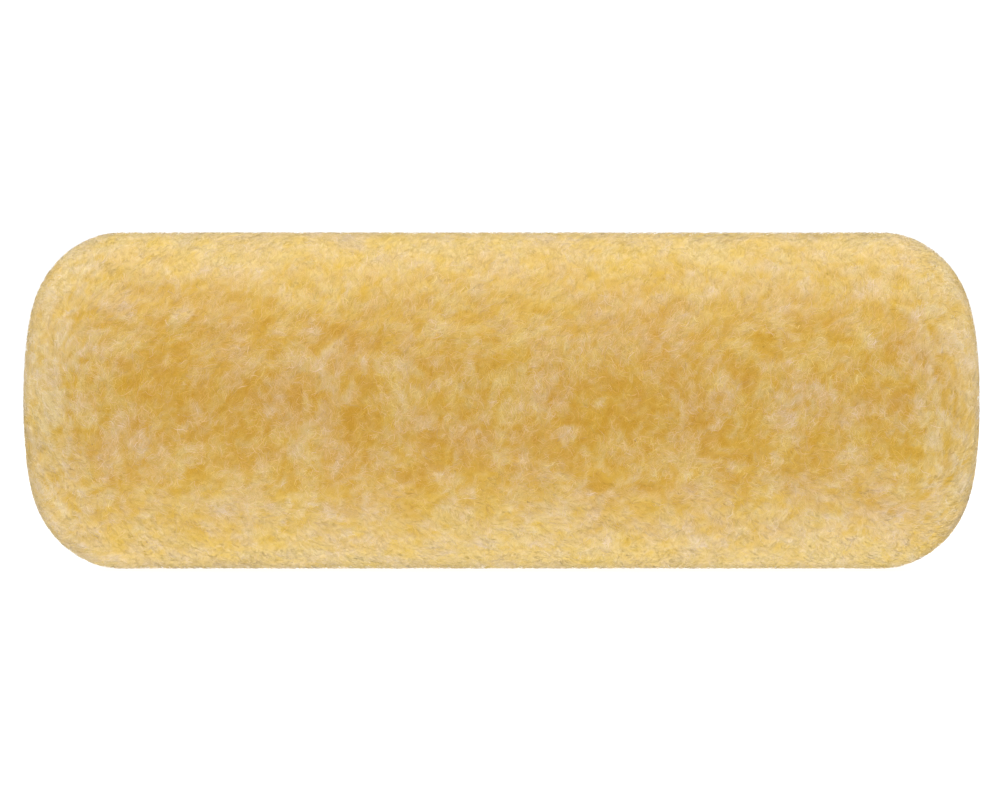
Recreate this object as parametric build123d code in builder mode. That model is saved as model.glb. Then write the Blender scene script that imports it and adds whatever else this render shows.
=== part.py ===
from build123d import *

import math
import os

# Lambskin paint roller sleeve, 250 mm nominal width, for an 8 mm bracket wire.
#
# Millimetres. The roller's axis is X and the origin is the middle of that axis.
# +X is the open end, where the bracket wire goes in; -X is the closed end.
# +Z is up. Two bodies turn on each other about X: the spindle tube, which stays
# with the bracket wire, and the roller, which is everything else.

os.makedirs("parts", exist_ok=True)

# ---------------------------------------------------------------- dimensions
# wool pile
PILE_R = 46.5  # outer radius of the sheared pile
PILE_HALF = 129.0  # crown of the pile, from the middle
PILE_EYE_R = 18.6  # radius of the eye in the end face that shows the cap
PILE_EYE_X = 122.4  # where the pile starts to lean in over the cap's flange
CROWN_R = 20.5  # radius at which the end face stands furthest out
END_AXIAL = 24.0  # axial half-axis of the rounded end
END_RADIAL = PILE_R - CROWN_R  # radial half-axis of the rounded end

# core tube
CORE_R = 24.0  # 48 mm core
CORE_BORE_R = 21.5
CORE_HALF = 118.0

# glue film and hide
FILM_T = 0.3
HIDE_T = 1.8
HIDE_IN_R = CORE_R + FILM_T
HIDE_OUT_R = HIDE_IN_R + HIDE_T
HIDE_END_X = CORE_HALF + HIDE_T
LIP_OUT_R = CORE_BORE_R
LIP_IN_R = LIP_OUT_R - HIDE_T
LIP_END_X = 107.5
FOLD_R = 1.79  # outside radius of the folds at the end of the hide
SEAM_W = 0.5  # butt joint along the hide
SEAM_BED_W = 6.4  # shallow bed in the hide that the stitches lie in
SEAM_BED_FLOOR = 25.15

# seam stitches
STITCH_R = 0.35
STITCH_LEN = 4.4
STITCH_LAY_R = 25.55
STITCH_PITCH = 5.0
STITCH_COUNT = 43
STITCH_TILT = 24.0

# gathering thread, which draws the turned-in hide tight
THREAD_R = 0.5
THREAD_LAY_R = 20.3
THREAD_X = 109.6

# end caps
CAP_SKIRT_R = LIP_IN_R
CAP_SKIRT_IN_R = 17.7
CAP_INNER_X = 104.0
CAP_FLANGE_R = 21.3
CAP_FLANGE_T = 2.0
CAP_FACE_X = HIDE_END_X + CAP_FLANGE_T
WEB_X0 = 110.5
WEB_X1 = 112.5
HUB_R = 10.0
HUB_X0 = 103.0
HUB_X1 = 119.0
RIB_T = 1.6
RIB_FACE_X = 116.4
RIB_COUNT = 8

# bearing bushes
BUSH_R = 8.0
BUSH_FLANGE_R = 9.9
BUSH_FLANGE_T = 1.5

# spindle tube
SPINDLE_R = 6.0
BEARING_GAP = 0.04  # radial running clearance in the bushes
BORE_R = 4.1  # takes an 8 mm wire
SPINDLE_OPEN_X = 123.0
SPINDLE_CLOSED_X = -121.0
COLLAR_R = 8.6
COLLAR_T = 2.0
END_FLOAT = 0.4
CLIP_X = -112.0
CLIP_GROOVE_W = 1.4
CLIP_GROOVE_R = 5.15
CLIP_WIRE_R = 0.5
CLIP_LAY_R = 4.4
CLIP_SWEEP = 300.0

# end plug
PLUG_R = 11.6
PLUG_IN_R = 10.05
PLUG_FACE_IN = 122.6
PLUG_FACE_OUT = 124.2
PLUG_SKIRT_X = 117.0


def save(part, name):
    part.label = name
    export_step(part, f"parts/{name}.step")


# ---------------------------------------------------------------- spindle tube
# A moulded tube the bracket wire pushes into. Two collars, one inside each
# bush, keep the roller from sliding along it.
collar_x = HUB_X0 - END_FLOAT
with BuildPart() as spindle_tube:
    with BuildSketch(Plane.XY):
        with BuildLine():
            Polyline(
                (SPINDLE_CLOSED_X, BORE_R),
                (SPINDLE_OPEN_X, BORE_R),
                (SPINDLE_OPEN_X, SPINDLE_R),
                (collar_x, SPINDLE_R),
                (collar_x, COLLAR_R),
                (collar_x - COLLAR_T, COLLAR_R),
                (collar_x - COLLAR_T, SPINDLE_R),
                (-collar_x + COLLAR_T, SPINDLE_R),
                (-collar_x + COLLAR_T, COLLAR_R),
                (-collar_x, COLLAR_R),
                (-collar_x, SPINDLE_R),
                (SPINDLE_CLOSED_X, SPINDLE_R),
                close=True,
            )
        make_face()
    revolve(axis=Axis.X)
    # groove for the retaining clip
    with BuildSketch(Plane.XY):
        with Locations((CLIP_X, (BORE_R - 0.5 + CLIP_GROOVE_R) / 2)):
            Rectangle(CLIP_GROOVE_W, CLIP_GROOVE_R - BORE_R + 0.5)
    revolve(axis=Axis.X, mode=Mode.SUBTRACT)
    # lead-in for the wire, and eased outer corners
    mouth = (
        spindle_tube.edges()
        .filter_by(GeomType.CIRCLE)
        .group_by(Axis.X)[-1]
    )
    chamfer([e for e in mouth if e.radius < 5.0], length=0.5)
    rims = spindle_tube.edges().filter_by(GeomType.CIRCLE)
    chamfer(
        [
            e
            for e in rims
            if abs(e.radius - SPINDLE_R) < 1e-3
            and (
                abs(e.center().X - SPINDLE_OPEN_X) < 1e-3
                or abs(e.center().X - SPINDLE_CLOSED_X) < 1e-3
            )
        ],
        length=0.4,
    )
save(spindle_tube.part, "spindle_tube")

# ---------------------------------------------------------------- retaining clip
# An open spring ring that snaps into the groove near the tip of the wire.
clip_start = Plane(origin=(CLIP_X, 0, 0), x_dir=(1, 0, 0), z_dir=(0, 0, 1))
with BuildPart() as retaining_clip:
    with BuildSketch(clip_start):
        with Locations((0, CLIP_LAY_R)):
            Circle(CLIP_WIRE_R)
    revolve(
        axis=Axis((CLIP_X, 0, 0), (1, 0, 0)),
        revolution_arc=CLIP_SWEEP,
    )
save(retaining_clip.part, "retaining_clip")

# ---------------------------------------------------------------- core tube
with BuildPart() as core_tube:
    with BuildSketch(Plane.YZ.offset(-CORE_HALF)):
        Circle(CORE_R)
        Circle(CORE_BORE_R, mode=Mode.SUBTRACT)
    extrude(amount=2 * CORE_HALF)
    chamfer(
        core_tube.edges().filter_by(GeomType.CIRCLE).group_by(SortBy.RADIUS)[0],
        length=0.4,
    )
save(core_tube.part, "core_tube")

# ---------------------------------------------------------------- adhesive film
with BuildPart() as adhesive_film:
    with BuildSketch(Plane.YZ.offset(-CORE_HALF + 2)):
        Circle(HIDE_IN_R)
        Circle(CORE_R, mode=Mode.SUBTRACT)
    extrude(amount=2 * CORE_HALF - 4)
save(adhesive_film.part, "adhesive_film")

# ---------------------------------------------------------------- hide backing
# One tanned skin wrapped round the core, butted and sewn along its length, with
# both ends turned in over the rim of the core and down its bore.
with BuildPart() as hide_backing:
    with BuildSketch(Plane.XY):
        with BuildLine():
            tube_top = Line((0, HIDE_OUT_R), (HIDE_END_X - FOLD_R, HIDE_OUT_R))
            fold_out = CenterArc(
                (HIDE_END_X - FOLD_R, HIDE_OUT_R - FOLD_R), FOLD_R, 0, 90
            )
            face = Line(
                (HIDE_END_X, HIDE_OUT_R - FOLD_R), (HIDE_END_X, LIP_IN_R + FOLD_R)
            )
            fold_in = CenterArc(
                (HIDE_END_X - FOLD_R, LIP_IN_R + FOLD_R), FOLD_R, -90, 90
            )
            Polyline(
                (HIDE_END_X - FOLD_R, LIP_IN_R),
                (LIP_END_X, LIP_IN_R),
                (LIP_END_X, LIP_OUT_R),
                (CORE_HALF, LIP_OUT_R),
                (CORE_HALF, HIDE_IN_R),
                (0, HIDE_IN_R),
                (0, HIDE_OUT_R),
            )
        make_face()
        mirror(about=Plane.YZ)
    revolve(axis=Axis.X)
    # hem groove the gathering thread runs in
    with BuildSketch(Plane.XY):
        with Locations((THREAD_X, LIP_IN_R + 0.6), (-THREAD_X, LIP_IN_R + 0.6)):
            Rectangle(1.4, 1.4)
    revolve(axis=Axis.X, mode=Mode.SUBTRACT)
    # butt joint and the bed for its stitches, on the underside
    with BuildSketch(Plane.XY.offset(-HIDE_OUT_R - 1)):
        Rectangle(2 * HIDE_END_X + 4, SEAM_W)
    extrude(amount=8.0, mode=Mode.SUBTRACT)
    with BuildSketch(Plane.XY.offset(-HIDE_OUT_R - 1)):
        Rectangle(2 * (CORE_HALF - 5), SEAM_BED_W)
    extrude(amount=HIDE_OUT_R + 1 - SEAM_BED_FLOOR, mode=Mode.SUBTRACT)
save(hide_backing.part, "hide_backing")

# ---------------------------------------------------------------- seam stitches
# Short diagonal stitches of one overlock row across the butt joint.
with BuildPart() as seam_stitches:
    for k in range(STITCH_COUNT):
        x = (k - (STITCH_COUNT - 1) / 2) * STITCH_PITCH
        tilt = STITCH_TILT if k % 2 else -STITCH_TILT
        with BuildSketch(
            Plane(
                origin=(
                    x - math.sin(math.radians(tilt)) * STITCH_LEN / 2,
                    -math.cos(math.radians(tilt)) * STITCH_LEN / 2,
                    -STITCH_LAY_R,
                ),
                z_dir=(math.sin(math.radians(tilt)), math.cos(math.radians(tilt)), 0),
            )
        ):
            Circle(STITCH_R)
        extrude(amount=STITCH_LEN)
    fillet(
        seam_stitches.edges().filter_by(GeomType.CIRCLE),
        radius=STITCH_R * 0.6,
    )
save(seam_stitches.part, "seam_stitches")


# ---------------------------------------------------------------- gathering threads
def gathering_thread(x):
    with BuildPart() as thread:
        with BuildSketch(Plane.XY):
            with Locations((x, THREAD_LAY_R)):
                Circle(THREAD_R)
        revolve(axis=Axis.X)
    return thread.part


save(gathering_thread(THREAD_X), "gathering_thread_open_end")
save(gathering_thread(-THREAD_X), "gathering_thread_closed_end")

# ---------------------------------------------------------------- end caps
# A moulded plug: skirt pressed down the turned-in hide, flange that clamps the
# fold against the rim of the core, thin web, ribbed hub for the bush.
with BuildPart() as end_cap:
    with BuildSketch(Plane.XY):
        with BuildLine():
            Polyline(
                (CAP_INNER_X, CAP_SKIRT_IN_R),
                (WEB_X0, CAP_SKIRT_IN_R),
                (WEB_X0, HUB_R),
                (HUB_X0, HUB_R),
                (HUB_X0, BUSH_R),
                (HUB_X1, BUSH_R),
                (HUB_X1, HUB_R),
                (WEB_X1, HUB_R),
                (WEB_X1, CAP_SKIRT_IN_R),
                (CAP_FACE_X, CAP_SKIRT_IN_R),
                (CAP_FACE_X, CAP_FLANGE_R),
                (HIDE_END_X, CAP_FLANGE_R),
                (HIDE_END_X, CAP_SKIRT_R),
                (CAP_INNER_X, CAP_SKIRT_R),
                close=True,
            )
        make_face()
    revolve(axis=Axis.X)
    # radial ribs on both sides of the web
    with BuildSketch(Plane.YZ.offset(WEB_X1 - 0.2)):
        with PolarLocations((HUB_R + CAP_SKIRT_IN_R) / 2, RIB_COUNT):
            Rectangle(CAP_SKIRT_IN_R - HUB_R + 0.6, RIB_T)
    extrude(amount=RIB_FACE_X - WEB_X1 + 0.2)
    with BuildSketch(Plane.YZ.offset(CAP_INNER_X + 0.6)):
        with PolarLocations((HUB_R + CAP_SKIRT_IN_R) / 2, RIB_COUNT):
            Rectangle(CAP_SKIRT_IN_R - HUB_R + 0.6, RIB_T)
    extrude(amount=WEB_X0 - CAP_INNER_X - 0.4)
    # eased rims
    rims = end_cap.edges().filter_by(GeomType.CIRCLE)
    fillet(
        [
            e
            for e in rims
            if abs(e.center().X - CAP_FACE_X) < 1e-3
            and e.radius > CAP_SKIRT_IN_R - 0.1
        ],
        radius=0.7,
    )
    chamfer(
        [
            e
            for e in end_cap.edges().filter_by(GeomType.CIRCLE)
            if abs(e.center().X - CAP_INNER_X) < 1e-3
            and abs(e.radius - CAP_SKIRT_R) < 1e-3
        ],
        length=0.6,
    )
save(end_cap.part, "end_cap_open_end")

with BuildPart() as end_cap_closed:
    add(end_cap.part)
    mirror(about=Plane.YZ, mode=Mode.REPLACE)
save(end_cap_closed.part, "end_cap_closed_end")

# ---------------------------------------------------------------- bearing bushes
with BuildPart() as bush:
    with BuildSketch(Plane.XY):
        with BuildLine():
            Polyline(
                (HUB_X0, SPINDLE_R + BEARING_GAP),
                (HUB_X1 + BUSH_FLANGE_T, SPINDLE_R + BEARING_GAP),
                (HUB_X1 + BUSH_FLANGE_T, BUSH_FLANGE_R),
                (HUB_X1, BUSH_FLANGE_R),
                (HUB_X1, BUSH_R),
                (HUB_X0, BUSH_R),
                close=True,
            )
        make_face()
    revolve(axis=Axis.X)
    chamfer(
        [
            e
            for e in bush.edges().filter_by(GeomType.CIRCLE)
            if abs(e.center().X - HUB_X1 - BUSH_FLANGE_T) < 1e-3
        ],
        length=0.35,
    )
save(bush.part, "bearing_bush_open_end")

with BuildPart() as bush_closed:
    add(bush.part)
    mirror(about=Plane.YZ, mode=Mode.REPLACE)
save(bush_closed.part, "bearing_bush_closed_end")

# ---------------------------------------------------------------- end plug
# Dust plug that snaps over the hub at the closed end and keeps paint out.
with BuildPart() as end_plug:
    with BuildSketch(Plane.XY):
        with BuildLine():
            Polyline(
                (-PLUG_FACE_OUT, 0),
                (-PLUG_FACE_OUT, PLUG_R),
                (-PLUG_SKIRT_X, PLUG_R),
                (-PLUG_SKIRT_X, PLUG_IN_R),
                (-PLUG_FACE_IN, PLUG_IN_R),
                (-PLUG_FACE_IN, 0),
                close=True,
            )
        make_face()
    revolve(axis=Axis.X)
    fillet(
        [
            e
            for e in end_plug.edges().filter_by(GeomType.CIRCLE)
            if abs(e.center().X + PLUG_FACE_OUT) < 1e-3
        ],
        radius=1.0,
    )
save(end_plug.part, "end_plug")

# ---------------------------------------------------------------- wool pile
# The nap as one closed solid: straight along the barrel, rounded at both ends
# like the sheared ends of a real sleeve, leaning in over the caps' flanges.
with BuildPart() as wool_pile:
    with BuildSketch(Plane.XY):
        with BuildLine():
            Line((0, HIDE_OUT_R), (HIDE_END_X - FOLD_R, HIDE_OUT_R))
            CenterArc((HIDE_END_X - FOLD_R, HIDE_OUT_R - FOLD_R), FOLD_R, 0, 90)
            Polyline(
                (HIDE_END_X, HIDE_OUT_R - FOLD_R),
                (HIDE_END_X, CAP_FLANGE_R + 0.3),
                (PILE_EYE_X, CAP_FLANGE_R + 0.3),
                (PILE_EYE_X, PILE_EYE_R),
            )
            EllipticalCenterArc(
                (PILE_EYE_X, CROWN_R),
                PILE_HALF - PILE_EYE_X,
                CROWN_R - PILE_EYE_R,
                start_angle=-90,
                arc_size=90,
            )
            EllipticalCenterArc(
                (PILE_HALF - END_AXIAL, CROWN_R),
                END_AXIAL,
                END_RADIAL,
                start_angle=0,
                arc_size=90,
            )
            Line((PILE_HALF - END_AXIAL, PILE_R), (0, PILE_R))
            Line((0, PILE_R), (0, HIDE_OUT_R))
        make_face()
        mirror(about=Plane.YZ)
    revolve(axis=Axis.X)
save(wool_pile.part, "wool_pile")
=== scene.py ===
"""A wool roller sleeve, lying along X on a pale table and seen from -Y.

The fleece is a packed sleeve with loose fibres grown over it. The other pieces keep their
CAD shapes and get their materials here.
"""

import math

import bpy
import numpy as np
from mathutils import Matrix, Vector


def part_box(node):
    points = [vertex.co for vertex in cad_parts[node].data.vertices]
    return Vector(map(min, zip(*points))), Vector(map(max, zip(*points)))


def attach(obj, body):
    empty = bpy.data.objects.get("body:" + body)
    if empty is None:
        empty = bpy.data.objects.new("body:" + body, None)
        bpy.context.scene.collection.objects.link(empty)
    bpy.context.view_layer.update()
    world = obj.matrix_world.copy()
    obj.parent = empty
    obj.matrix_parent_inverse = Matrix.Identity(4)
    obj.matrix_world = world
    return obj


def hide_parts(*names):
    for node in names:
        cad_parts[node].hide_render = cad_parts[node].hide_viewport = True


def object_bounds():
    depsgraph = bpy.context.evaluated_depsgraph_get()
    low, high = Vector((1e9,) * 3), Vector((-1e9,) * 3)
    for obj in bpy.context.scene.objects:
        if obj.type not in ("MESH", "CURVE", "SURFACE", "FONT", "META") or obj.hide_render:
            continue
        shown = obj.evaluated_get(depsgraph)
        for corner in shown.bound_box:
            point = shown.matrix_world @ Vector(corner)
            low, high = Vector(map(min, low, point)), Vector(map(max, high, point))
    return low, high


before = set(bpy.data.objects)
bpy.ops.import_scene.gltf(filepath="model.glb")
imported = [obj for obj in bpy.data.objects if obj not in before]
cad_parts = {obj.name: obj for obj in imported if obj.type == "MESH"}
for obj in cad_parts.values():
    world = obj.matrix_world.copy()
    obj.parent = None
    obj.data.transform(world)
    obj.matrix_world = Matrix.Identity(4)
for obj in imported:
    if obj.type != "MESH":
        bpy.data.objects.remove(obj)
cad_lo, cad_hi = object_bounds()

MM = 0.001
rng = np.random.default_rng(20160)

# ------------------------------------------------------------------ pile shape
# The pile's outer surface is a profile turned about X. The fleece is worked out
# in millimetres, and becomes metres when a mesh is made.
_, pile_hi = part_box("wool_pile")
PILE_R = pile_hi.z / MM
PILE_HALF = pile_hi.x / MM
CROWN_R = 20.5  # radius where the profile reaches furthest along X
END_AXIAL = 24.0  # length of the rounded end
EYE_R = 18.6
EYE_X = 122.4
FACE_X = PILE_HALF - END_AXIAL  # where the straight part ends
PROFILE_STEPS = 500  # points on each of the profile's three parts


def profile_table():
    """Half the profile, from the middle to the eye: arc length, x, radius, outward normal."""
    angle = np.linspace(0, math.pi / 2, PROFILE_STEPS)
    x = np.concatenate([
        np.linspace(0, FACE_X, PROFILE_STEPS),
        (FACE_X + END_AXIAL * np.sin(angle))[1:],
        (EYE_X + (PILE_HALF - EYE_X) * np.cos(angle))[1:],
    ])
    radius = np.concatenate([
        np.full(PROFILE_STEPS, PILE_R),
        (CROWN_R + (PILE_R - CROWN_R) * np.cos(angle))[1:],
        (CROWN_R - (CROWN_R - EYE_R) * np.sin(angle))[1:],
    ])
    arc = np.concatenate([[0], np.cumsum(np.hypot(np.diff(x), np.diff(radius)))])
    slope_x, slope_r = np.gradient(x, arc), np.gradient(radius, arc)
    size = np.hypot(slope_x, slope_r)
    return arc, x, radius, -slope_r / size, slope_x / size


ARC, PROFILE_X, PROFILE_R, NORMAL_X, NORMAL_R = profile_table()
TO_CROWN = 2 * PROFILE_STEPS - 1  # points up to the crown, where x stops rising
ARC_FACE = FACE_X
ARC_CROWN = float(np.interp(PILE_HALF - 1e-6, PROFILE_X[:TO_CROWN], ARC[:TO_CROWN]))
ARC_END = ARC[-1]


def at_arc(arc, values):
    """A column of the profile at signed arc lengths from the middle."""
    return np.interp(np.abs(arc), ARC, values)


def turned(x, radius, turn):
    """Points or vectors turned about X: turn 0 faces -Y, a quarter turn faces +Z."""
    return np.stack([x, -radius * np.cos(turn), radius * np.sin(turn)], -1)


def pile_point(arc, turn, depth):
    x = at_arc(arc, PROFILE_X) - depth * at_arc(arc, NORMAL_X)
    radius = at_arc(arc, PROFILE_R) - depth * at_arc(arc, NORMAL_R)
    return turned(x * np.sign(arc), radius, turn)


def pile_normal(arc, turn):
    return turned(at_arc(arc, NORMAL_X) * np.sign(arc), at_arc(arc, NORMAL_R), turn)


# ----------------------------------------------------------------- seeded noise
def hash3(i, j, k, seed):
    """A random number from 0 to 1 for each whole-number cell."""
    h = (i * 374761393 + j * 668265263 + k * 2147483647 + seed * 1274126177) & 0xFFFFFFFF
    h = ((h ^ (h >> 13)) * 1274126177) & 0xFFFFFFFF
    h = ((h ^ (h >> 16)) * 2246822519) & 0xFFFFFFFF
    return (h ^ (h >> 15)) / 4294967295.0


def noise(points, scale, seed):
    """Smooth value noise, mostly from -1 to 1, with features about scale across."""
    grid = points / scale
    cell = np.floor(grid).astype(np.int64)
    part = grid - cell
    part = part * part * part * (part * (part * 6 - 15) + 10)
    x, y, z = part[..., 0], part[..., 1], part[..., 2]
    total = 0
    for i in (0, 1):
        for j in (0, 1):
            for k in (0, 1):
                weight = (x if i else 1 - x) * (y if j else 1 - y) * (z if k else 1 - z)
                total = total + weight * hash3(
                    cell[..., 0] + i, cell[..., 1] + j, cell[..., 2] + k, seed)
    return (total * 2 - 1) * 1.6


def layered(points, layers):
    """Noises added up, from rows of weight, scale and seed."""
    return sum(weight * noise(points, scale, seed) for weight, scale, seed in layers)


def noise_vector(points, scale, seed):
    return np.stack([noise(points, scale, seed + i) for i in range(3)], -1)


def smooth(low, high, x):
    t = np.clip((x - low) / (high - low), 0, 1)
    return t * t * (3 - 2 * t)


def wrapped(angle):
    return np.mod(angle + math.pi, math.tau) - math.pi


# ------------------------------------------------------------- the fleece's tone
# Places where the fleece parts and shows its deep gold, and drifts of pale tips:
# x in mm, degrees round from the front, half length, half width in mm, strength.
DRIFTS = [
    (-9, 14, 9, 5, -0.55), (-80, 3, 14, 8, -0.45), (-65, -24, 10, 5, -0.45),
    (-36, -7, 8, 4, -0.5), (7, -13, 4, 8, -0.45), (36, 5, 9, 5, -0.5),
    (106, -18, 9, 4, -0.5), (-6, 23, 5, 5, -0.4), (70, 21, 9, 4, -0.35),
    (-92, 16, 8, 5, -0.35), (-45, 12, 9, 5, 0.4), (-24, 5, 8, 5, 0.4),
    (21, 21, 9, 5, 0.45), (-121, 3, 6, 10, 0.5), (77, 5, 9, 6, 0.35),
    (-100, -15, 9, 6, 0.35), (116, 30, 7, 5, 0.4), (114, 46, 8, 7, -0.5),
    (-111, 46, 7, 7, -0.4), (103, 22, 9, 5, 0.35), (106, -42, 16, 6, 0.35),
    (123, -6, 5, 12, -0.45), (117, -24, 5, 6, -0.35), (-116, 26, 5, 7, -0.3),
]
# The fleece's lay round the sleeve: degrees round from the front, radians up from +X.
LAY = [
    (-180, 0.5), (-110, -0.4), (-75, -1.3), (-50, -1.3), (-40, -0.5), (-30, 0.7), (-18, 1.6),
    (0, 2.0), (9, 1.7), (16, 0.7), (26, 0.5), (38, 1.25), (52, 1.45), (80, 1.3), (120, 0.7),
]
CALM_AT, CALM_WIDTH, CALMING = 43, 27, 0.6  # degrees round, degrees, share of ruffling lost
# Noise layers: weight, mm across, seed
LAY_NOISE = [(0.5, 38, 21), (0.4, 14, 22)]
TONE_NOISE = [(0.34, 5.0, 42), (0.20, 13.0, 43)]
HUE_NOISE = [(0.5, 14.0, 81), (0.5, 5.0, 82), (0.4, 1.8, 83)]
LUMP_NOISE = [(0.22, 8.0, 11), (0.18, 3.6, 12), (0.10, 1.7, 13)]


def fleece_lay(points):
    """The lay at points, and how ruffled the fleece is there: 1 is the most."""
    degrees = np.degrees(np.arctan2(points[..., 2], -points[..., 1]))
    ruffle = 1 - CALMING * np.exp(-(((degrees - CALM_AT) / CALM_WIDTH) ** 2))
    lay = np.interp(degrees, *zip(*LAY), period=360)
    return lay + layered(points, LAY_NOISE) * ruffle, ruffle


def wool_tone(points):
    """Torn patches drawn out along the lay, from about -1 (deep gold) to 1 (pale tips)."""
    torn = (points + noise_vector(points, scale=5.0, seed=61) * 1.5
            + noise_vector(points, scale=1.8, seed=64) * 0.5)
    lay, ruffle = fleece_lay(points)
    turn = np.arctan2(torn[..., 2], -torn[..., 1])
    along = np.stack(
        [np.cos(lay), np.sin(lay) * np.sin(turn), np.sin(lay) * np.cos(turn)], -1)
    tone = layered(torn, TONE_NOISE)
    # smear noise over several steps along the lay, further where the fleece is calm
    drawn = along * (1.4 - ruffle)[..., None]
    streak = 0.12 + 0.06 * (1 - ruffle)
    for k in (-2.0, -1.0, 0.0, 1.0, 2.0):
        tone = (tone + 0.105 * noise(torn + drawn * k, scale=2.4, seed=41)
                + streak * noise(torn + drawn * k * 0.6, scale=1.2, seed=44))
    # the ends are paler and more strongly patched
    end = smooth(98, 124, np.abs(points[..., 0]))
    tone = tone * (1 + 0.6 * end) + 0.28 * end
    for x, degrees, half_x, half_round, strength in DRIFTS:
        off = wrapped(turn - math.radians(degrees)) * PILE_R
        tone = tone + strength * np.exp(
            -(((torn[..., 0] - x) / half_x) ** 2) - (off / half_round) ** 2)
    return tone


def wool_hue(points):
    """Slow drifts of hue, from about -1 (a pinkish gold) to 1 (lemon)."""
    return layered(points, HUE_NOISE)


# ------------------------------------------------------------------------ nodes
def feed(tree, node, inputs):
    """Link or set a node's inputs, by name or number. Colours of three parts are opaque."""
    for key, value in inputs.items():
        socket = node.inputs[key]
        if isinstance(value, bpy.types.NodeSocket):
            tree.links.new(value, socket)
        elif socket.type == "RGBA":
            socket.default_value = (*value, 1)
        else:
            socket.default_value = value


def add_node(tree, kind, inputs=None, **settings):
    node = tree.nodes.new("ShaderNode" + kind)
    for key, value in settings.items():
        setattr(node, key, value)
    feed(tree, node, inputs or {})
    return node


def empty_tree(owner, output="OutputMaterial"):
    """The owner's node tree with only an output in it, and that output."""
    owner.use_nodes = True
    tree = owner.node_tree
    tree.nodes.clear()
    return tree, add_node(tree, output)


def new_material(name):
    material = bpy.data.materials.new(name)
    tree, output = empty_tree(material)
    bsdf = add_node(tree, "BsdfPrincipled")
    feed(tree, output, {"Surface": bsdf.outputs[0]})
    return material, tree, bsdf


def ramp(tree, factor, stops, interpolation="LINEAR"):
    """A colour ramp through stops of position and colour; a plain number is a grey."""
    node = add_node(tree, "ValToRGB", {"Fac": factor})
    node.color_ramp.interpolation = interpolation
    elements = node.color_ramp.elements
    while len(elements) < len(stops):
        elements.new(0.5)
    for element, (position, colour) in zip(elements, stops):
        element.position = position
        element.color = (*(colour if isinstance(colour, tuple) else (colour,) * 3), 1)
    return node.outputs["Color"]


def mix(tree, factor, a, b, blend="MIX"):
    node = add_node(tree, "Mix", {"Factor": factor, "A": a, "B": b},
                    data_type="RGBA", blend_type=blend)
    return node.outputs["Result"]


def multiplied(tree, a, b):
    return mix(tree, 1.0, a, b, "MULTIPLY")


def maths(tree, operation, *values, clamp=False):
    node = add_node(tree, "Math", dict(enumerate(values)),
                    operation=operation, use_clamp=clamp)
    return node.outputs[0]


def scaled(tree, value, gain, offset, clamp=False):
    return maths(tree, "MULTIPLY_ADD", value, gain, offset, clamp=clamp)


def squared(tree, value):
    return maths(tree, "MULTIPLY", value, value)


def split(tree, vector):
    return add_node(tree, "SeparateXYZ", {"Vector": vector}).outputs


def tex_noise(tree, vector, scale, detail=3.0, rough=0.5, distortion=0.0):
    return add_node(tree, "TexNoise", {
        "Scale": scale, "Detail": detail, "Roughness": rough,
        "Distortion": distortion, "Vector": vector,
    }).outputs["Fac"]


def coordinates(tree, kind="Object"):
    return add_node(tree, "TexCoord").outputs[kind]


def stretched(tree, vector, scale):
    return add_node(tree, "Mapping", {"Scale": scale, "Vector": vector}).outputs["Vector"]


def bump(tree, bsdf, height, strength, distance):
    node = add_node(tree, "Bump", {
        "Strength": strength, "Distance": distance, "Height": height})
    feed(tree, bsdf, {"Normal": node.outputs["Normal"]})


# -------------------------------------------------------------- wool materials
# The body of the fleece is a saturated gold; the loose fibres on it are paler
# and greyer. Where they lie thick the fleece looks pale, where they part it
# looks deep gold. That deep gold, on the body and at the fibres' roots, is
# partly the wool's own colour and partly painted shade of the deep pile, as
# the fibres cast no shadow. The lists are ramps from deep gold to pale.
GOLDS_WITH_PAINTED_SHADE = [
    (0.00, (0.655, 0.358, 0.043)),
    (0.35, (0.698, 0.416, 0.076)),
    (0.65, (0.742, 0.488, 0.150)),
    (1.00, (0.785, 0.570, 0.265)),
]
STRANDS = [
    (0.00, (0.772, 0.450, 0.073)),
    (0.30, (0.815, 0.534, 0.148)),
    (0.60, (0.855, 0.622, 0.282)),
    (1.00, (0.905, 0.735, 0.495)),
]
# fibres' roots: partly the wool's own deep gold, partly painted shade of the deep pile
ROOTS_WITH_PAINTED_SHADE = [(0.0, (0.66, 0.345, 0.045)), (1.0, (0.78, 0.50, 0.13))]
# painted rim light: the pale colour painted where the surface turns away from the view,
# standing in for wool lit through its tips
PAINTED_RIM_LIGHT = [(0.00, (0.705, 0.570, 0.115)), (1.00, (0.735, 0.615, 0.425))]
# and the painted rim light at the roller's ends, where the pile is fluffed up and pale
PAINTED_RIM_LIGHT_END = [(0.00, (0.755, 0.535, 0.090)), (1.00, (0.870, 0.710, 0.430))]
# how far the painted rim light has taken over, by how far the surface faces away
PAINTED_RIM_RISE = [(0.0, 0.0), (0.08, 0.05), (0.20, 0.40), (0.30, 0.58), (0.55, 0.88), (1.0, 1.0)]
# painted clump shade: fibres in dull clumps and crimps are painted a little darker than bright
# ones
PAINTED_CLUMP_SHADE = [(0.0, (0.72, 0.67, 0.58)), (0.5, (0.885, 0.865, 0.835)), (1.0, (1.0, 1.0, 1.0))]
PINKISH = (0.965, 0.93, 1.14)
LEMON = (1.02, 1.045, 0.87)
SHEEN_TINT = (1.0, 0.93, 0.75)
# a fibre's map has a band along V for each step of painted clump shade, dull to bright, in two
# hues
SHADE_STEPS = 6
BANDS = SHADE_STEPS * 2


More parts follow.
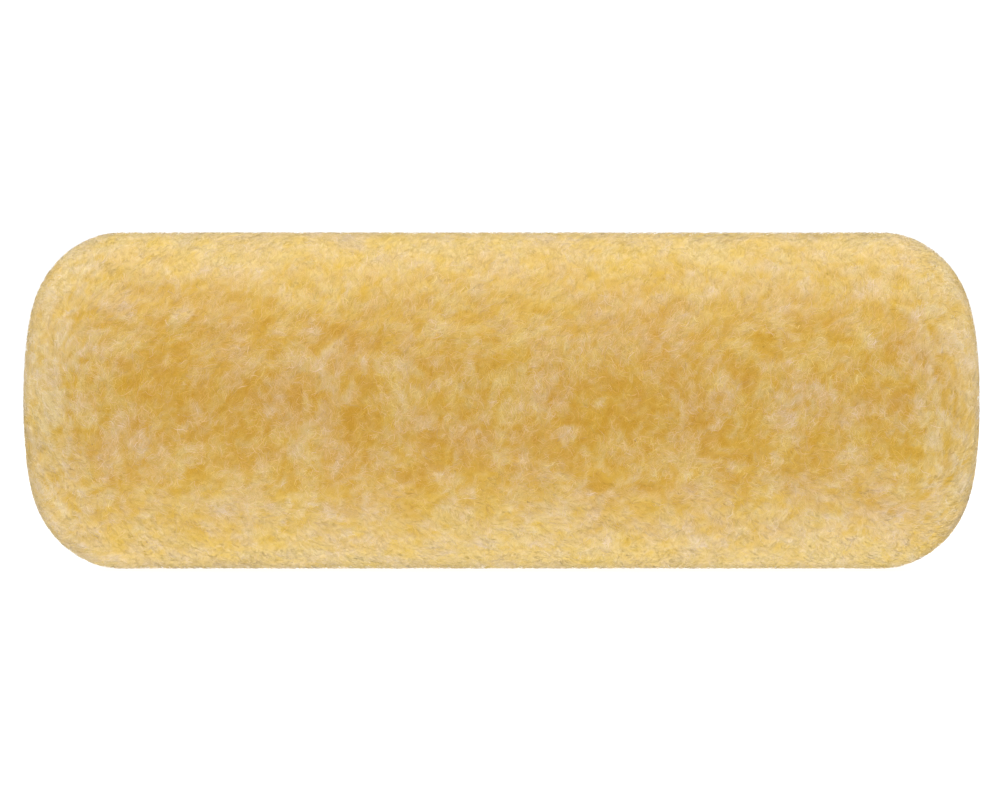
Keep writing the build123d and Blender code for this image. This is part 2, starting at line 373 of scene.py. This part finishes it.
def wool_colour(tree, colour, tone, clump_light, hue):
    """Wool's colour by its painted clump shade and hue, going over to a painted rim light as it
    turns away.
    """
    # painted clump shade: duller clumps are painted darker
    colour = multiplied(tree, colour, ramp(tree, clump_light, PAINTED_CLUMP_SHADE))
    if callable(hue):
        hue = hue()
    colour = multiplied(tree, colour, mix(tree, hue, PINKISH, LEMON))
    # painted rim light: paler as the surface turns away from the view, a little more at the
    # roller's ends
    weight = add_node(tree, "LayerWeight", {"Blend": 0.5})
    away = ramp(tree, weight.outputs["Facing"], PAINTED_RIM_RISE)
    normal = split(tree, add_node(tree, "NewGeometry").outputs["Normal"])
    end = ramp(tree, maths(tree, "ABSOLUTE", normal["X"]), [(0.20, 0), (0.75, 1)], "EASE")
    share = maths(tree, "MULTIPLY", away, scaled(tree, end, gain=0.06, offset=0.46))
    rim_light_colour = mix(tree, end, ramp(tree, tone, PAINTED_RIM_LIGHT), ramp(tree, tone, PAINTED_RIM_LIGHT_END))
    return mix(tree, share, colour, rim_light_colour)


def wool_surface(tree, bsdf, colour, roughness, specular, sheen):
    feed(tree, bsdf, {
        "Base Color": colour,
        "Roughness": roughness,
        "Specular IOR Level": specular,
        "Sheen Weight": sheen,
        "Sheen Roughness": 0.5,
        "Sheen Tint": SHEEN_TINT,
    })


def fibre_material():
    """A fibre's map runs its tone along U and its length along V in one of the bands."""
    material, tree, bsdf = new_material("wool_fibre")
    uv = split(tree, add_node(tree, "UVMap", uv_map="OFBake").outputs["UV"])
    tone = uv["X"]
    bands = maths(tree, "MULTIPLY", uv["Y"], BANDS)
    length = maths(tree, "FRACT", bands)
    tip = ramp(tree, tone, STRANDS)
    # the root end is darker: partly the wool's own colour, partly painted shade of the deep
    # pile
    shaded_root = ramp(tree, tone, ROOTS_WITH_PAINTED_SHADE)
    along = ramp(tree, length, [(0.0, 0), (0.45, 0.6), (0.8, 1)])
    colour = mix(tree, along, shaded_root, tip)
    band = maths(tree, "FLOOR", bands)
    # the band's step of painted clump shade
    clump_light = maths(tree, "DIVIDE", maths(tree, "MODULO", band, SHADE_STEPS), SHADE_STEPS - 1)
    hue = maths(tree, "GREATER_THAN", band, SHADE_STEPS - 0.5)
    colour = wool_colour(tree, colour, tone, clump_light, hue)
    roughness = scaled(tree, length, gain=-0.18, offset=0.82)
    wool_surface(tree, bsdf, colour, roughness, specular=0.05, sheen=0.15)
    return material


def fleece_material():
    """The body's patches, shared with the fibres, and the fine crimp of packed wool, which also
    carries painted shade.
    """
    material, tree, bsdf = new_material("wool_fleece")
    place = coordinates(tree)
    patch = add_node(tree, "Attribute", attribute_name="tone").outputs["Fac"]
    strands = tex_noise(tree, stretched(tree, place, scale=(1.0, 1.3, 1.3)),
                        scale=1300, detail=3, rough=0.6, distortion=1.6)
    crimp = tex_noise(tree, stretched(tree, place, scale=(1.3, 1.0, 1.0)),
                      scale=2100, detail=4, rough=0.65, distortion=2.2)
    tone = maths(tree, "ADD", patch, scaled(tree, strands, gain=0.6, offset=-0.30))
    # the body's deep gold is partly its own colour and partly painted shade of the deep pile
    colour = ramp(tree, tone, GOLDS_WITH_PAINTED_SHADE)
    # painted shade along the crimp
    clump_light = scaled(tree, crimp, gain=2.4, offset=-0.7, clamp=True)
    hue = add_node(tree, "Attribute", attribute_name="hue").outputs["Fac"]
    colour = wool_colour(tree, colour, tone, clump_light, hue)
    roughness = scaled(tree, strands, gain=0.2, offset=0.72)
    wool_surface(tree, bsdf, colour, roughness, specular=0.03, sheen=0.25)
    relief = maths(tree, "ADD", strands, maths(tree, "MULTIPLY", crimp, 0.5))
    bump(tree, bsdf, relief, strength=0.25, distance=0.0003)
    return material


# ----------------------------------------------------------------------- meshes
def mesh_object(name, verts, quads, tris=()):
    """A smooth-shaded object from vertices in metres, quads and then triangles."""
    mesh = bpy.data.meshes.new(name)
    quad_count, tri_count = len(quads), len(tris)
    loops = np.concatenate([quads.reshape(-1), np.reshape(tris, -1)])
    mesh.vertices.add(len(verts))
    mesh.vertices.foreach_set("co", np.ascontiguousarray(verts, np.float32).ravel())
    mesh.loops.add(len(loops))
    mesh.loops.foreach_set("vertex_index", loops.astype(np.int32))
    mesh.polygons.add(quad_count + tri_count)
    starts = np.concatenate([
        np.arange(quad_count) * 4, quad_count * 4 + np.arange(tri_count) * 3])
    mesh.polygons.foreach_set("loop_start", starts.astype(np.int32))
    mesh.polygons.foreach_set("use_smooth", np.ones(quad_count + tri_count, bool))
    mesh.update(calc_edges=True)
    ob = bpy.data.objects.new(name, mesh)
    bpy.context.scene.collection.objects.link(ob)
    return ob


def place_wool(ob, material):
    ob.data.materials.append(material)
    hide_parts("wool_pile")
    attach(ob, "roller")


# --------------------------------------------------------------- fleece's body
BODY_RINGS, BODY_SIDES, INNER_RINGS = 400, 240, 9
INNER_EDGE = ARC_CROWN - 6  # where the inner wall starts to close in
# The inner wall, just off the hide's outer face and clear of the cap's flange:
# arc length, x, radius.
INNER_WALL = [
    (0, 0, 26.4),
    (ARC_FACE, 112.0, 26.4),
    (INNER_EDGE, 119.0, 26.4),
    (ARC_CROWN, 121.9, 23.4),
    (ARC_END, 122.2, 20.9),
]
INNER_TONE = 0.2  # tone and hue of the inner wall


def fluff(arc):
    """How far the fluffed ends stand proud of the trimmed surface."""
    reach = np.abs(arc)
    return (0.40 * smooth(ARC_FACE + 8, ARC_CROWN - 4, reach)
            * (1 - smooth(ARC_CROWN, ARC_END, reach)))


def body_depth(arc, turn):
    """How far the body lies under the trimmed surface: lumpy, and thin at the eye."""
    points = pile_point(arc, turn, 0)
    thin = 1 - 0.55 * smooth(ARC_CROWN - 6, ARC_END, np.abs(arc))
    depth = (1.05 - 0.12 * wool_tone(points) + layered(points, LUMP_NOISE)) * thin
    return np.clip(depth, 0.25, 2.4) - fluff(arc)


def wall_quads(grid, outward):
    """Quads over a grid of vertex numbers that closes on itself round the axis."""
    beside = np.roll(grid, -1, 1)
    corners = [grid[:-1], grid[1:], beside[1:], beside[:-1]]
    if not outward:
        corners = [corners[i] for i in (0, 3, 2, 1)]
    return np.stack(corners, -1).reshape(-1, 4)


def build_body():
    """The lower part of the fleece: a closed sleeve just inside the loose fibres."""
    turns = np.linspace(0, math.tau, BODY_SIDES, endpoint=False)
    arc, turn = np.meshgrid(np.linspace(-ARC_END, ARC_END, BODY_RINGS), turns, indexing="ij")
    outer = pile_point(arc, turn, body_depth(arc, turn))
    surface = pile_point(arc, turn, 0)

    inner_arc = np.linspace(-ARC_END, ARC_END, INNER_RINGS)
    inner_arc[1], inner_arc[-2] = -ARC_CROWN, ARC_CROWN
    inner_arc[2], inner_arc[-3] = -INNER_EDGE, INNER_EDGE
    wall_arc, wall_x, wall_r = zip(*INNER_WALL)
    inner_x = np.sign(inner_arc) * np.interp(np.abs(inner_arc), wall_arc, wall_x)
    inner_r = np.interp(np.abs(inner_arc), wall_arc, wall_r)
    inner = turned(np.repeat(inner_x[:, None], BODY_SIDES, 1), inner_r[:, None], turns[None])

    verts = np.concatenate([outer.reshape(-1, 3), inner.reshape(-1, 3)]) * MM
    rings = np.arange(len(verts)).reshape(-1, BODY_SIDES)
    out, inn = rings[:BODY_RINGS], rings[BODY_RINGS:]
    out_next, inn_next = np.roll(out, -1, 1), np.roll(inn, -1, 1)
    quads = np.concatenate([
        wall_quads(out, outward=True),
        wall_quads(inn, outward=False),
        np.stack([out[0], out_next[0], inn_next[0], inn[0]], -1),
        np.stack([out_next[-1], out[-1], inn[-1], inn_next[-1]], -1),
    ])
    ob = mesh_object("wool_fleece_body", verts, quads)
    inside = np.full(inner_r.size * BODY_SIDES, INNER_TONE)
    for key, value in (
        ("tone", 0.5 + 0.38 * wool_tone(surface)),
        ("hue", np.clip(0.5 + 0.35 * wool_hue(surface), 0, 1)),
    ):
        values = np.concatenate([value.ravel(), inside]).astype(np.float32)
        ob.data.attributes.new(key, "FLOAT", "POINT").data.foreach_set("value", values)
    return ob


# ---------------------------------------------------------------------- fibres
FIBRES = 176000
POINTS = 5  # along a fibre, the last being its tip
RINGS = POINTS - 1
RING_VERTS = 3 * RINGS
TAPER = np.array([0.95, 1.0, 0.92, 0.66])  # radius of each ring, as a share
SECTORS = 24  # objects the fibres are shared among, round the sleeve
ROUND = 0.32  # how far a fibre's own roundness turns its shading from the fleece's
SIDE_TONE = 0.012  # step in tone from one side of a fibre to the next
FIBRE_LENGTH = (1.7, 4.2)
FIBRE_RADIUS = (0.042, 0.078)
ROOT_SINK = (0.2, 0.9)  # how far the roots lie under the body's surface
FREE_SHARE = 0.25  # loose hairs that don't follow their wisp
STRAY_SHARE = 0.02  # long pale hairs lying on top
BOLD_SHARE = 0.10  # crimped strands a few hairs thick, also near the top
# Fibres gather in clumps of several sizes: cell size, seed
CLUMPS = {"strand": (0.5, 3), "wisp": (0.95, 9), "lock": (3.0, 5), "tuft": (8.0, 7)}
JITTER = 0.9  # how far a clump's centre may stray in its cell, as a share


def clump_of(arc, turn, cell, seed):
    """The nearest of a jittered grid of clump centres.

    Gives the way to it along the profile and round the axis, and the clump's own random
    numbers from -0.5 to 0.5.
    """
    radius = at_arc(arc, PROFILE_R)
    nearest = np.full(len(arc), 1e9)
    clump = {}
    first_row = np.floor(arc / cell).astype(np.int64)
    for i in (-1, 0, 1):
        row = first_row + i
        row_arc = (row + 0.5) * cell
        row_cells = np.round(math.tau * at_arc(row_arc, PROFILE_R) / cell)
        row_cells = np.maximum(6, row_cells).astype(np.int64)
        first_column = np.floor(turn / math.tau * row_cells).astype(np.int64)
        for j in (-1, 0, 1):
            column = np.mod(first_column + j, row_cells)

            def draw(k):
                return hash3(row, column, k, seed) - 0.5

            centre_turn = (column + 0.5 + draw(1) * JITTER) / row_cells * math.tau
            found = {
                "ahead": row_arc + draw(0) * cell * JITTER - arc,
                "aside": wrapped(centre_turn - turn) * radius,
                "lay": draw(2), "curl": draw(3), "tone": draw(4), "clump_light": draw(5),
            }
            distance = found["ahead"] ** 2 + found["aside"] ** 2
            nearer = distance < nearest
            nearest = np.where(nearer, distance, nearest)
            for key, value in found.items():
                clump[key] = np.where(nearer, value, clump.get(key, 0.0))
    return clump


def scatter_roots(count):
    """Roots even over the surface, then thinned where the patches are deep gold."""
    mean_r = (PROFILE_R[1:] + PROFILE_R[:-1]) / 2
    area_to = np.concatenate([[0], np.cumsum(mean_r * np.diff(ARC))])
    candidates = int(count * 2.2)
    arc = np.interp(rng.random(candidates) * area_to[-1], area_to, ARC)
    arc = arc * np.where(rng.random(candidates) < 0.5, -1, 1)
    turn = rng.random(candidates) * math.tau
    tone = wool_tone(pile_point(arc, turn, 0))
    keep = rng.random(candidates) < 0.38 + 0.62 * smooth(-0.8, 0.8, tone)
    assert keep.sum() >= count, "too few candidates"
    return arc[keep][:count], turn[keep][:count], tone[keep][:count]


def fibre_heading(arc, points, clumps, free):
    """Each wisp wanders off the lay, and the ends are combed over towards the eye."""
    lay, ruffle = fleece_lay(points)
    wisp, lock, tuft = clumps["wisp"], clumps["lock"], clumps["tuft"]
    lay = lay + (tuft["lay"] * 1.2 + lock["lay"] * 1.5 + wisp["lay"] * 1.2) * ruffle
    lay = lay + rng.normal(0, 1, len(arc)) * np.where(free, 1.3, 0.25)
    end = smooth(ARC_FACE - 6, ARC_FACE + 22, np.abs(arc))
    to_eye = np.where(arc > 0, 1.0, -1.0)
    ahead = np.cos(lay) * (1 - end) + to_eye * end + 0.9 * np.cos(lay) * end
    aside = np.sin(lay) * (1 - end) + 0.9 * np.sin(lay) * end
    scatter = rng.normal(0, 1, len(arc)) * np.where(free, 1.5, 0.35)
    return np.arctan2(aside, ahead), wisp["curl"] * 2.6 + lock["curl"] * 1.2 + scatter


def fibre_path(heading, curl, length, wisp, free, bold):
    """How far each point of the fibres lies from the root, along the profile and round it."""
    t = np.linspace(0, 1, POINTS)
    share = t[1:] ** 0.7 + 0.25
    step = length[:, None] * (share / share.sum())[None]
    crimp = rng.normal(0, 1, (len(length), RINGS)) * np.where(bold, 0.75, 0.45)[:, None]
    angle = heading[:, None] + curl[:, None] * (t[1:] - 0.35)[None] + crimp
    # fibres of a wisp lean together towards its middle as they rise
    pull = np.where(free, 0.0, 0.65)[:, None] * (t**0.8)[None]
    # each is set back along its heading, so that the wisps cover the surface evenly
    set_back = (length * 0.45)[:, None]
    mean_heading = heading + curl * 0.15
    paths = []
    for key, part in (("ahead", np.cos), ("aside", np.sin)):
        path = np.concatenate([np.zeros((len(length), 1)), np.cumsum(step * part(angle), 1)], 1)
        path = path + wisp[key][:, None] * pull
        paths.append(path - set_back * part(mean_heading)[:, None])
    return paths


def fibre_colour(tone, points, strand, wisp, stray, bold):
    """Tone along the map's U, and the band along V for painted clump shade and hue."""
    count = len(tone)
    tone = (0.46 + 0.30 * tone + rng.normal(0, 0.03, count) + wisp["tone"] * 0.12
            + stray * 0.18 + bold * 0.03)
    # each clump's painted shade; strays and bold strands lying on top are painted lighter
    clump_light = (0.5 + wisp["clump_light"] * 1.1 + strand["clump_light"] * 1.3 + rng.normal(0, 0.1, count)
             + stray * 0.4 + bold * 0.2)
    lemon = (0.42 * wool_hue(points) + strand["tone"] * 0.6 + rng.normal(0, 0.15, count)
             - (clump_light - 0.5) * 0.6) > 0
    band = np.clip(np.floor(clump_light * SHADE_STEPS), 0, SHADE_STEPS - 1) + SHADE_STEPS * lemon
    return np.clip(tone, 0.02, 0.98), band


def grow(count):
    """The fibres' centre lines, normals, radii, tones and bands, and their roots' turns."""
    root_arc, root_turn, root_tone = scatter_roots(count)
    roots = pile_point(root_arc, root_turn, 0)
    clumps = {
        name: clump_of(root_arc, root_turn, cell, seed)
        for name, (cell, seed) in CLUMPS.items()
    }
    free = rng.random(count) < FREE_SHARE
    stray = rng.random(count) < STRAY_SHARE
    bold = rng.random(count) < BOLD_SHARE
    heading, curl = fibre_heading(root_arc, roots, clumps, free)

    # most tips stay low; strays and bold strands come up near the surface
    body = body_depth(root_arc, root_turn)
    tip_depth = body * (0.04 + 0.80 * rng.random(count) ** 1.8)
    tip_depth = np.where(stray, body * 0.03, tip_depth)
    tip_depth = np.where(bold, tip_depth * 0.5, tip_depth)
    length = rng.uniform(*FIBRE_LENGTH, count) * np.where(stray, 1.6, 1.0)
    length = length * (1 - 0.4 * smooth(ARC_CROWN - 4, ARC_END, np.abs(root_arc)))
    root_depth = body + rng.uniform(*ROOT_SINK, count)
    ahead, aside = fibre_path(heading, curl, length, clumps["wisp"], free, bold)

    t = np.linspace(0, 1, POINTS)
    depth = tip_depth[:, None] + (root_depth - tip_depth)[:, None] * (1 - t[None]) ** 2.2
    depth = depth + rng.normal(0, 0.10, (count, POINTS)) * (t * (1.15 - t) * 3)[None]
    arc = np.clip(root_arc[:, None] + ahead, -ARC_END, ARC_END)
    turn = root_turn[:, None] + aside / np.maximum(at_arc(arc, PROFILE_R), 16.0)
    radius = rng.uniform(*FIBRE_RADIUS, count) * np.where(bold, 1.65, 1.0)
    # sheared off a little proud of the surface
    proud = 0.12 + fluff(arc)
    depth = np.clip(depth - proud, radius[:, None] - proud, 3.5)
    tone, band = fibre_colour(
        root_tone, roots, clumps["strand"], clumps["wisp"], stray, bold)
    return pile_point(arc, turn, depth), pile_normal(arc, turn), radius, tone, band, root_turn


def fibre_faces():
    """One fibre's quads and triangles, each with its corners' places in the map's grid."""
    quads, quad_map, tris, tri_map = [], [], [], []
    for i in range(RINGS - 1):
        for j in range(3):
            a, b = 3 * i + j, 3 * i + (j + 1) % 3
            quads.append([a, b, b + 3, a + 3])
            quad_map += [(j, i), (j + 1, i), (j + 1, i + 1), (j, i + 1)]
    last = 3 * (RINGS - 1)
    for j in range(3):
        tris.append([last + j, last + (j + 1) % 3, RING_VERTS])
        tri_map += [(j, RINGS - 1), (j + 1, RINGS - 1), (j + 0.5, RINGS)]
    tris.append([2, 1, 0])
    tri_map += [(2, 0), (1, 0.15), (0, 0)]
    return np.array(quads), np.array(tris), np.array(quad_map, float), np.array(tri_map, float)


def fibre_mesh(name, points, normals, radius, tone, band):
    """Closed tapered three-sided fibres, each from its root to a point."""
    count = len(points)
    along = np.gradient(points, axis=1)
    along /= np.linalg.norm(along, axis=2, keepdims=True) + 1e-9
    across = np.cross(along, normals)
    upright = np.linalg.norm(across, axis=2) < 1e-3
    across[upright] = np.cross(along[upright], np.array([0.3, 0.5, 0.8]))
    across /= np.linalg.norm(across, axis=2, keepdims=True)
    other = np.cross(along, across)
    ring_r = (radius[:, None] * TAPER[None])[:, :, None]
    twist = rng.uniform(0, math.tau, count)
    verts = np.empty((count, RING_VERTS + 1, 3))
    soft = np.empty((count, RING_VERTS + 1, 3), np.float32)
    for j in range(3):
        angle = (twist + j * math.tau / 3)[:, None, None]
        out = across[:, :RINGS] * np.cos(angle) + other[:, :RINGS] * np.sin(angle)
        verts[:, j:RING_VERTS:3] = points[:, :RINGS] + out * ring_r
        soft[:, j:RING_VERTS:3] = normals[:, :RINGS] + out * ROUND
    verts[:, -1] = points[:, -1]
    soft[:, -1] = normals[:, -1]
    soft /= np.linalg.norm(soft, axis=2, keepdims=True)

    quads, tris, quad_map, tri_map = fibre_faces()
    first = (np.arange(count) * (RING_VERTS + 1))[:, None, None]
    ob = mesh_object(name, verts.reshape(-1, 3) * MM,
                     (quads[None] + first).reshape(-1, 4), (tris[None] + first).reshape(-1, 3))

    def uvs(grid):
        uv = np.empty((count, len(grid), 2), np.float32)
        uv[:, :, 0] = tone[:, None] + (grid[None, :, 0] - 1.5) * SIDE_TONE
        # kept a little inside the band
        uv[:, :, 1] = (band[:, None] + 0.04 + 0.92 * grid[None, :, 1] / RINGS) / BANDS
        return uv.reshape(-1, 2)

    # wool scatters light inside itself, so a fibre is lit mostly as the fleece round it is
    shading = ob.data.attributes.new("custom_normal", "FLOAT_VECTOR", "POINT")
    shading.data.foreach_set("vector", soft.ravel())
    layer = ob.data.uv_layers.new(name="OFBake")
    uv = np.clip(np.concatenate([uvs(quad_map), uvs(tri_map)]), 0, 1)
    layer.data.foreach_set("uv", uv.ravel())
    return ob


wool = fibre_material()
place_wool(build_body(), fleece_material())

*fibres, root_turn = grow(FIBRES)
sector = np.floor(np.mod(root_turn, math.tau) / math.tau * SECTORS).astype(int)
for i in range(SECTORS):
    ob = fibre_mesh(f"wool_fibres_{i + 1:02d}", *(values[sector == i] for values in fibres))
    # thin wool lets the light through to the fibres under it
    ob.visible_shadow = False
    ob.visible_diffuse = False
    place_wool(ob, wool)


# -------------------------------------------------------- materials of CAD nodes
def moulded(name, low, high, rough, streak=(1, 1, 1)):
    """Moulded plastic: slow colour drift, fine spark-eroded grain, rubbed patches."""
    material, tree, bsdf = new_material(name)
    place = coordinates(tree)
    drift = tex_noise(tree, stretched(tree, place, streak), scale=60, rough=0.55)
    grain = tex_noise(tree, place, scale=3600, detail=2)
    rub = tex_noise(tree, place, scale=220, detail=4, rough=0.7)
    tone = maths(tree, "ADD", maths(tree, "MULTIPLY", drift, 0.7),
                 maths(tree, "MULTIPLY", rub, 0.3))
    colour = ramp(tree, tone, [(0.30, low), (0.70, high)])
    # the rubbing varies the roughness evenly about its middle
    rub_range = 0.22
    roughness = maths(tree, "ADD", maths(tree, "MULTIPLY", rub, rub_range),
                      rough - rub_range / 2)
    feed(tree, bsdf, {"Base Color": colour, "Roughness": roughness})
    bump(tree, bsdf, grain, strength=0.5, distance=0.00006)
    return material


def patterned(tree, bsdf, pattern, stops, gain, offset):
    """Colour and roughness that both follow one pattern."""
    colour = ramp(tree, pattern, stops)
    roughness = scaled(tree, pattern, gain, offset)
    feed(tree, bsdf, {"Base Color": colour, "Roughness": roughness})


def steel():
    material, tree, bsdf = new_material("spring_wire")
    drawn = tex_noise(tree, stretched(tree, coordinates(tree), scale=(1, 0.2, 0.2)),
                      scale=3000, rough=0.6)
    patterned(tree, bsdf, drawn, gain=0.25, offset=0.2,
              stops=[(0.3, (0.50, 0.50, 0.51)), (0.7, (0.70, 0.70, 0.70))])
    feed(tree, bsdf, {"Metallic": 1.0})
    bump(tree, bsdf, drawn, strength=0.3, distance=0.00003)
    return material


def hide():
    material, tree, bsdf = new_material("tanned_hide")
    place = coordinates(tree)
    patch = tex_noise(tree, place, scale=90, detail=4, rough=0.6)
    pores = add_node(tree, "TexVoronoi", {"Scale": 1400, "Vector": place})
    patterned(tree, bsdf, patch, gain=0.2, offset=0.72,
              stops=[(0.3, (0.62, 0.44, 0.24)), (0.7, (0.80, 0.66, 0.44))])
    bump(tree, bsdf, pores.outputs["Distance"], strength=0.6, distance=0.0002)
    return material


def thread():
    material, tree, bsdf = new_material("twisted_thread")
    twist = add_node(tree, "TexWave", {
        "Scale": 900, "Distortion": 1.5, "Vector": coordinates(tree),
    }, bands_direction="DIAGONAL").outputs["Fac"]
    patterned(tree, bsdf, twist, gain=-0.1, offset=0.8,
              stops=[(0.0, (0.66, 0.60, 0.46)), (1.0, (0.88, 0.84, 0.72))])
    bump(tree, bsdf, twist, strength=0.8, distance=0.0001)
    return material


def glue():
    material, tree, bsdf = new_material("hot_melt")
    flow = tex_noise(tree, coordinates(tree), scale=160, detail=4, rough=0.6, distortion=1.0)
    patterned(tree, bsdf, flow, gain=0.3, offset=0.15,
              stops=[(0.3, (0.62, 0.42, 0.13)), (0.7, (0.80, 0.62, 0.28))])
    bump(tree, bsdf, flow, strength=0.4, distance=0.0003)
    return material


def acetal_bush(name):
    return moulded(name, low=(0.10, 0.11, 0.12), high=(0.17, 0.18, 0.19), rough=0.36)


cap = moulded("cap_polypropylene", low=(0.70, 0.69, 0.65), high=(0.80, 0.79, 0.75), rough=0.42)
finishes = {
    "core_tube": moulded("core_polypropylene", low=(0.66, 0.66, 0.64),
                         high=(0.78, 0.78, 0.76), rough=0.38, streak=(0.15, 1, 1)),
    "end_cap_open_end": cap,
    "end_cap_closed_end": cap,
    "end_plug": moulded("plug_polypropylene", low=(0.68, 0.67, 0.63),
                        high=(0.79, 0.78, 0.74), rough=0.45),
    "bearing_bush_open_end": acetal_bush("bush_acetal"),
    "bearing_bush_closed_end": acetal_bush("bush_acetal_far"),
    "spindle_tube": moulded("spindle_acetal", low=(0.76, 0.75, 0.70),
                            high=(0.86, 0.85, 0.80), rough=0.30, streak=(0.2, 1, 1)),
    "retaining_clip": steel(),
    "hide_backing": hide(),
    "seam_stitches": thread(),
    "gathering_thread_open_end": thread(),
    "gathering_thread_closed_end": thread(),
    "adhesive_film": glue(),
}
for name, material in finishes.items():
    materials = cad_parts[name].data.materials
    materials.clear()
    materials.append(material)

# ------------------------------------------------------------------- the studio
scene = bpy.context.scene
scene.view_settings.view_transform = "Standard"
scene.view_settings.look = "None"
scene.cycles.max_bounces = 8
scene.cycles.diffuse_bounces = 5
scene.cycles.use_denoising = True


def build_world():
    """White to the camera; as light, brighter towards up, down and both ends."""
    world = bpy.data.worlds.new("studio")
    scene.world = world
    tree, output = empty_tree(world, "OutputWorld")
    way = split(tree, coordinates(tree, "Generated"))
    height = maths(tree, "ABSOLUTE", way["Z"])
    level = scaled(tree, squared(tree, height), gain=1.70, offset=0.445)
    level = scaled(tree, squared(tree, way["X"]), gain=0.50, offset=level)
    light = add_node(tree, "Background", {"Color": (1.0, 0.99, 0.97), "Strength": level})
    seen = add_node(tree, "Background", {"Color": (1, 1, 1), "Strength": 1.05})
    by_ray(tree, output, light, seen)


def by_ray(tree, output, light, seen):
    """Show the camera one shader and every other ray the other."""
    path = add_node(tree, "LightPath")
    shader = add_node(tree, "MixShader", {
        "Fac": path.outputs["Is Camera Ray"], 1: light.outputs[0], 2: seen.outputs[0]})
    feed(tree, output, {"Surface": shader.outputs[0]})


def build_softbox():
    data = bpy.data.lights.new("softbox_top", "AREA")
    data.shape = "RECTANGLE"
    data.size, data.size_y = 1.4, 1.0
    data.energy = 2.5
    data.color = (0.97, 1.0, 0.95)
    ob = bpy.data.objects.new("softbox_top", data)
    scene.collection.objects.link(ob)
    ob.location = (0, -0.15, 1.2)
    ob.rotation_mode = "QUATERNION"
    towards_roller = Vector((0, 0, 0)) - Vector((0, -0.15, 1.2))
    ob.rotation_quaternion = towards_roller.to_track_quat("-Z", "Y")


def floor_material():
    """A pale lit table that lights the roller much as the world does."""
    material = bpy.data.materials.new("floor")
    tree, output = empty_tree(material)
    diffuse = add_node(tree, "BsdfDiffuse", {"Color": (0.24, 0.24, 0.24)})
    lit = add_node(tree, "Emission", {"Strength": 0.90})
    way = split(tree, add_node(tree, "NewGeometry").outputs["Incoming"])
    height = squared(tree, way["Z"])
    side = squared(tree, way["X"])
    level = scaled(tree, height, gain=1.73, offset=0.480)
    level = scaled(tree, side, gain=0.50, offset=level)
    glow = add_node(tree, "Emission", {"Strength": level})
    seen = add_node(tree, "AddShader", {0: diffuse.outputs[0], 1: lit.outputs[0]})
    by_ray(tree, output, glow, seen)
    return material


def build_floor():
    """A flat square at the foot of the roller."""
    half = 6
    corners = [(-half, -half), (half, -half), (half, half), (-half, half)]
    verts = np.array([(x, y, cad_lo.z) for x, y in corners], float)
    floor = mesh_object("floor", verts, np.array([[0, 1, 2, 3]]))
    floor.data.materials.append(floor_material())


def build_camera():
    """Level with the roller's axis, looking along +Y."""
    data = bpy.data.cameras.new("camera")
    data.lens = 130
    data.sensor_width = 36
    data.clip_start, data.clip_end = 0.01, 50
    camera = bpy.data.objects.new("camera", data)
    scene.collection.objects.link(camera)
    camera.location = (-0.0004, -1.0, 0.0)
    camera.rotation_euler = (math.pi / 2, 0, 0)
    scene.camera = camera


build_world()
build_softbox()
build_floor()
build_camera()
